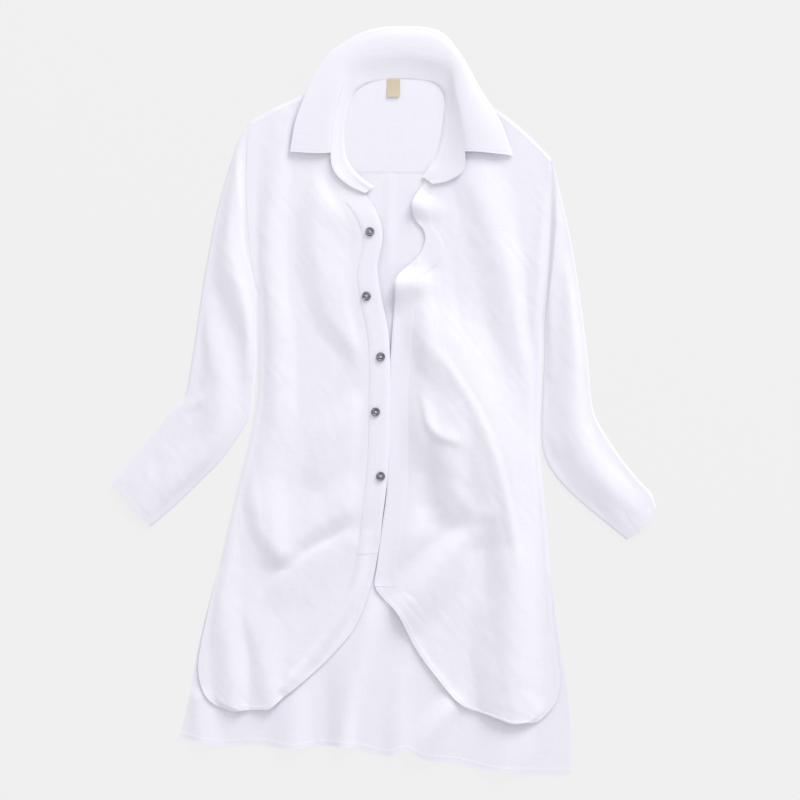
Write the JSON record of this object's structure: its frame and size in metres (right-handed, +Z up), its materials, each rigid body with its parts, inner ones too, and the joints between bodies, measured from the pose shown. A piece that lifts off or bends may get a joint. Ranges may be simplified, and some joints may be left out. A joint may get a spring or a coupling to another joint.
{
  "type": "linen shirt dress",
  "caption": "Long-sleeved linen shirt dress laid flat on its back, collar open, button front pulled apart over a longer back, curved shirt-tail hem with side slits.",
  "frame": {"origin": "middle of the bounding box on the surface that the dress lies on", "axes": "+Y towards the collar, +Z up out of the surface towards the onlooker, +X to the onlooker's right"},
  "size_m": [0.7628, 1.0491, 0.0236],
  "materials": {
    "linen": "matt plain weave",
    "button": "satin",
    "label": "matt woven tape"
  },
  "bodies": {
    "root": {"back_panel": "linen", "back_yoke": "linen", "left_front": "linen", "right_front": "linen", "left_placket": "linen", "right_placket": "linen", "left_sleeve": "linen", "right_sleeve": "linen", "collar_stand": "linen", "collar_leaf": "linen", "neck_label": "label", "button_1": "button", "button_2": "button", "button_3": "button", "button_4": "button", "button_5": "button"}
  },
  "joints": []
}
